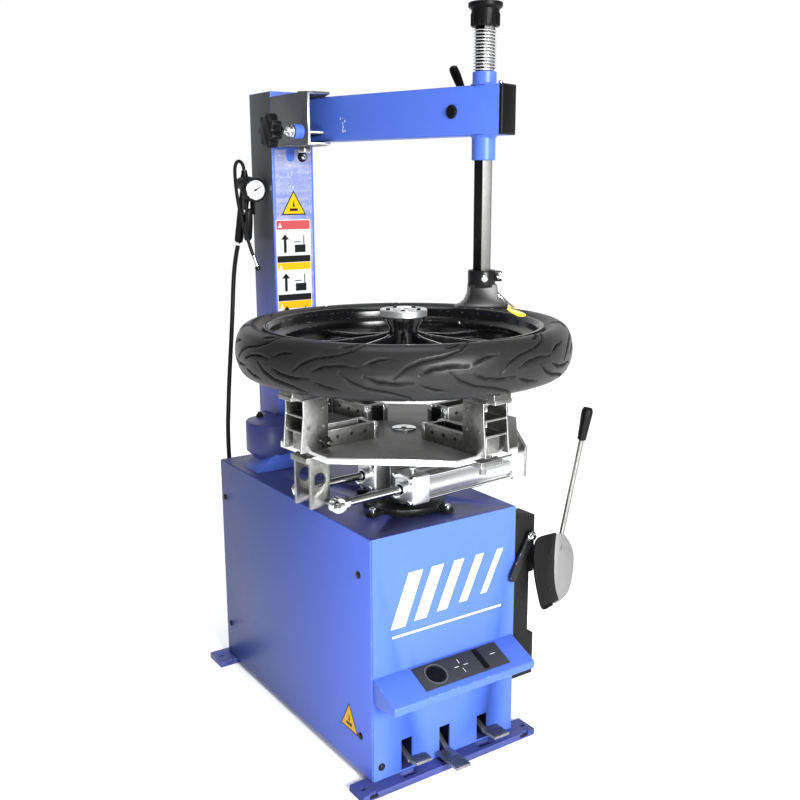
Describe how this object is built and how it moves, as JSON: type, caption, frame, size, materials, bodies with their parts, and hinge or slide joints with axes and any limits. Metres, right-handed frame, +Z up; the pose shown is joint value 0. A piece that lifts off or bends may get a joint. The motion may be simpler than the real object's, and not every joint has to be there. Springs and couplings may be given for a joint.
{
  "type": "motorcycle tyre changer",
  "caption": "Floor-standing tyre changer: four-jaw turntable with a wheel, column with swing arm and mount head, pedals, bead breaker and air gun.",
  "frame": {"origin": "on the floor, in the middle of the footprint of everything except the air hoses and the chuck", "axes": "+X to the operator's right, +Y from the operator to the column at the back, +Z up"},
  "size_m": [0.79, 1.0472, 1.689],
  "materials": {
    "blue_paint": "semi-gloss",
    "black_paint": "satin",
    "bracket_steel": "satin",
    "zinc_steel": "galvanized",
    "bright_steel": "polished",
    "cast_aluminium": "satin",
    "worn_steel": "worn",
    "black_plastic": "matte",
    "grey_plastic": "matte",
    "yellow_plastic": "satin",
    "black_rubber": "matte",
    "tyre_rubber": "matte",
    "gloss_black": "gloss black lacquer"
  },
  "bodies": {
    "cabinet": {"cabinet_shell": "blue_paint", "left_side_cover": "blue_paint", "front_foot": "blue_paint", "rear_foot": "blue_paint", "console_shelf": "blue_paint", "console_panel": "grey_plastic", "column_base": "blue_paint", "column": "blue_paint", "arm_bracket": "bracket_steel", "pivot_pin": "bright_steel", "gearbox": "black_paint", "drive_motor": "black_paint", "side_pad": "black_rubber", "breaker_hinge_bracket": "black_paint", "breaker_cylinder": "cast_aluminium", "air_fitting": "zinc_steel", "gun_body": "black_plastic", "gauge_case": "black_rubber", "supply_hose": "black_rubber", "whip_hose": "black_rubber", "air_chuck": "bright_steel"},
    "turntable": {"turntable_plate": "zinc_steel", "spindle": "bright_steel", "jaw_guide_right": "zinc_steel", "jaw_guide_rear": "zinc_steel", "jaw_guide_left": "zinc_steel", "jaw_guide_front": "zinc_steel", "tyre": "tyre_rubber", "wheel_rim": "gloss_black"},
    "jaw_left": {"jaw_slide_left": "zinc_steel", "jaw_adapter_left": "zinc_steel", "clamp_rod_front": "bright_steel", "clamp_rod_rear": "bright_steel"},
    "jaw_right": {"jaw_slide_right": "zinc_steel", "jaw_adapter_right": "zinc_steel", "clamp_barrel_front": "cast_aluminium", "clamp_barrel_rear": "cast_aluminium"},
    "jaw_front": {"jaw_slide_front": "zinc_steel", "jaw_adapter_front": "zinc_steel"},
    "jaw_rear": {"jaw_slide_rear": "zinc_steel", "jaw_adapter_rear": "zinc_steel"},
    "arm": {"swing_arm": "blue_paint", "arm_end_cap": "black_plastic", "return_spring": "zinc_steel"},
    "clamp_lever": {"clamp_lever": "black_plastic"},
    "tool_post": {"hex_shaft": "worn_steel", "post_cap": "black_plastic", "mount_head": "black_paint", "tool_insert": "yellow_plastic"},
    "stop_knob": {"stop_knob": "black_plastic"},
    "pedal_left": {"pedal_left": "worn_steel"},
    "pedal_middle": {"pedal_middle": "worn_steel"},
    "pedal_right": {"pedal_right": "worn_steel"},
    "breaker_arm": {"breaker_arm": "black_paint"},
    "breaker_rod": {"breaker_rod": "bright_steel"},
    "blade": {"breaker_blade": "zinc_steel", "blade_guard": "black_plastic", "handle_grip": "black_plastic"},
    "latch_lever": {"latch_lever": "black_paint"},
    "gun_trigger": {"gun_trigger": "black_plastic"}
  },
  "joints": [
    {"name": "turntable_spin", "type": "hinge", "parent": "cabinet", "child": "turntable", "pos_m": [-0.01945, -0.13733, 0.716], "axis": [0, 0, 1], "continuous": true},
    {"name": "jaw_left_slide", "type": "slide", "parent": "turntable", "child": "jaw_left", "axis": [-0.9962, -0.0872, 0], "range_m": [-0.06, 0.005]},
    {"name": "jaw_right_slide", "type": "slide", "parent": "turntable", "child": "jaw_right", "axis": [0.9962, 0.0872, 0], "range_m": [-0.06, 0.005]},
    {"name": "jaw_front_slide", "type": "slide", "parent": "turntable", "child": "jaw_front", "axis": [0.0872, -0.9962, 0], "range_m": [-0.06, 0.005]},
    {"name": "jaw_rear_slide", "type": "slide", "parent": "turntable", "child": "jaw_rear", "axis": [-0.0872, 0.9962, 0], "range_m": [-0.06, 0.005]},
    {"name": "arm_swing", "type": "hinge", "parent": "cabinet", "child": "arm", "pos_m": [-0.02445, 0.29568, 1.468], "axis": [0, 0, 1], "range_deg": [0, 75]},
    {"name": "clamp_lever_turn", "type": "hinge", "parent": "arm", "child": "clamp_lever", "pos_m": [0.11704, -0.15777, 1.468], "axis": [0.9546, 0.2979, 0], "range_deg": [-60, 25]},
    {"name": "post_slide", "type": "slide", "parent": "arm", "child": "tool_post", "axis": [0, 0, 1], "range_m": [0, 0.06], "deforming": ["return_spring"]},
    {"name": "stop_knob_turn", "type": "hinge", "parent": "cabinet", "child": "stop_knob", "pos_m": [-0.15945, 0.19967, 1.438], "axis": [1, 0, 0], "range_deg": [0, 360]},
    {"name": "pedal_left_press", "type": "hinge", "parent": "cabinet", "child": "pedal_left", "pos_m": [-0.12745, -0.22632, 0.062], "axis": [1, 0, 0], "range_deg": [0, 10], "stiffness_Nm_per_rad": 18, "springref_deg": -4.58},
    {"name": "pedal_middle_press", "type": "hinge", "parent": "cabinet", "child": "pedal_middle", "pos_m": [-0.02145, -0.22632, 0.062], "axis": [1, 0, 0], "range_deg": [0, 7], "stiffness_Nm_per_rad": 18, "springref_deg": -4.58},
    {"name": "pedal_right_press", "type": "hinge", "parent": "cabinet", "child": "pedal_right", "pos_m": [0.08855, -0.22632, 0.062], "axis": [1, 0, 0], "range_deg": [0, 10], "stiffness_Nm_per_rad": 18, "springref_deg": -4.58},
    {"name": "breaker_swing", "type": "hinge", "parent": "cabinet", "child": "breaker_arm", "pos_m": [0.27255, 0.40068, 0.426], "axis": [0, 0, 1], "range_deg": [0, 35]},
    {"name": "breaker_rod_slide", "type": "slide", "parent": "cabinet", "child": "breaker_rod", "axis": [1, 0, 0], "range_m": [0, 0.105]},
    {"name": "blade_tilt", "type": "hinge", "parent": "breaker_arm", "child": "blade", "pos_m": [0.27255, -0.29633, 0.426], "axis": [1, 0, 0], "range_deg": [-1, 10]},
    {"name": "latch_turn", "type": "hinge", "parent": "cabinet", "child": "latch_lever", "pos_m": [0.22155, -0.31333, 0.505], "axis": [0, 1, 0], "range_deg": [-30, 60]},
    {"name": "trigger_pull", "type": "hinge", "parent": "cabinet", "child": "gun_trigger", "pos_m": [-0.11945, 0.42967, 1.248], "axis": [1, 0, 0], "range_deg": [0, 15], "stiffness_Nm_per_rad": 1.2, "springref_deg": -8.59}
  ],
  "couplings": [
    {"joint": "jaw_right_slide", "follows": "jaw_left_slide", "ratio": 1},
    {"joint": "jaw_front_slide", "follows": "jaw_left_slide", "ratio": 1},
    {"joint": "jaw_rear_slide", "follows": "jaw_left_slide", "ratio": 1},
    {"joint": "breaker_rod_slide", "follows": "breaker_swing", "m_per_rad": 0.17}
  ]
}
